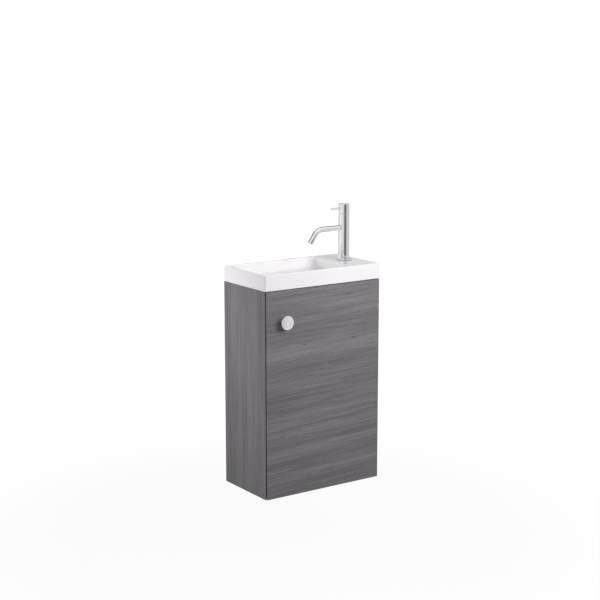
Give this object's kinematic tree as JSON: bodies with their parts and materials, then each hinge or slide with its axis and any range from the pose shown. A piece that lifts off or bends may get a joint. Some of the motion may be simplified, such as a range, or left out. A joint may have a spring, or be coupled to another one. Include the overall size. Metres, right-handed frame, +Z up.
{
  "type": "cloakroom vanity unit",
  "caption": "Wall-hung cloakroom vanity: shallow basin with side tap deck, lever tap with bent spout, bottle trap, and a one-door cabinet with a round knob.",
  "frame": {"origin": "on the wall, midway between the two fixing holes in the top rear rail", "axes": "+X to the right seen from the front, +Y into the wall, +Z up"},
  "size_m": [0.4, 0.241, 0.818],
  "materials": {
    "mineral_cast": "gloss white",
    "wood_decor_upright": "grey wood decor, upright grain",
    "wood_decor_level": "grey wood decor, level grain",
    "board_inside": "grey wood decor board",
    "beech": "raw beech",
    "chrome": "polished",
    "satin_metal": "satin",
    "nickel_steel": "nickel plated",
    "zinc": "die cast",
    "brass": "turned",
    "rubber": "matt black",
    "silicone": "white silicone",
    "clear_buffer": "translucent soft plastic",
    "white_plastic": "moulded white",
    "cartridge_plastic": "moulded"
  },
  "bodies": {
    "cabinet": {"side_panel_left": "wood_decor_upright", "side_panel_right": "wood_decor_upright", "bottom_panel": "board_inside", "front_rail": "board_inside", "rear_rail_top": "board_inside", "rear_rail_bottom": "board_inside", "shelf": "board_inside", "shelf_pins": "nickel_steel", "dowels": "beech", "cam_bolts": "nickel_steel", "cam_discs": "zinc", "hinge_arm_pins": "nickel_steel", "hinge_arms": "nickel_steel", "hinge_plates": "nickel_steel", "hinge_plate_screws": "nickel_steel", "basin": "mineral_cast", "basin_sealant": "silicone", "tap_base_gasket": "rubber", "tap_base_flange": "chrome", "tap_body": "chrome", "tap_spout": "chrome", "tap_aerator": "chrome", "tap_cartridge": "cartridge_plastic", "tap_shank": "brass", "tap_washer": "rubber", "tap_fixing_nut": "brass", "waste_grid": "chrome", "waste_screw": "chrome", "waste_upper_gasket": "rubber", "waste_tail": "brass", "waste_lower_gasket": "rubber", "waste_back_nut": "brass", "trap_inlet_nut": "white_plastic", "trap_inlet_seal": "rubber", "trap_body": "white_plastic", "trap_dip_tube": "white_plastic", "trap_cup": "white_plastic", "trap_cup_seal": "rubber", "trap_outlet_nut": "white_plastic", "trap_outlet_seal": "rubber", "trap_outlet_tube": "white_plastic", "wall_rosette": "white_plastic"},
    "hinge_link": {"hinge_links": "nickel_steel"},
    "door": {"door_panel": "wood_decor_level", "door_knob": "satin_metal", "knob_stem": "satin_metal", "knob_screw": "nickel_steel", "door_buffers": "clear_buffer", "hinge_cups": "nickel_steel", "hinge_cup_screws": "nickel_steel", "hinge_cup_pins": "nickel_steel"},
    "tap_handle": {"tap_head": "chrome", "tap_lever": "chrome", "tap_grub_screw": "nickel_steel", "tap_spindle": "brass"}
  },
  "joints": [
    {"name": "hinge_link_fold", "type": "hinge", "parent": "cabinet", "child": "hinge_link", "pos_m": [0.16, -0.189, 0], "axis": [0, 0, 1], "range_deg": [-44.8, 0]},
    {"name": "door_swing", "type": "hinge", "parent": "hinge_link", "child": "door", "pos_m": [0.187, -0.2064, 0], "axis": [0, 0, 1], "range_deg": [0, 140]},
    {"name": "tap_handle_turn", "type": "hinge", "parent": "cabinet", "child": "tap_handle", "pos_m": [0.15, -0.11, 0], "axis": [0, 0, 1], "range_deg": [0, 90]}
  ],
  "couplings": [
    {"joint": "hinge_link_fold", "follows": "door_swing", "ratio": -0.32}
  ]
}
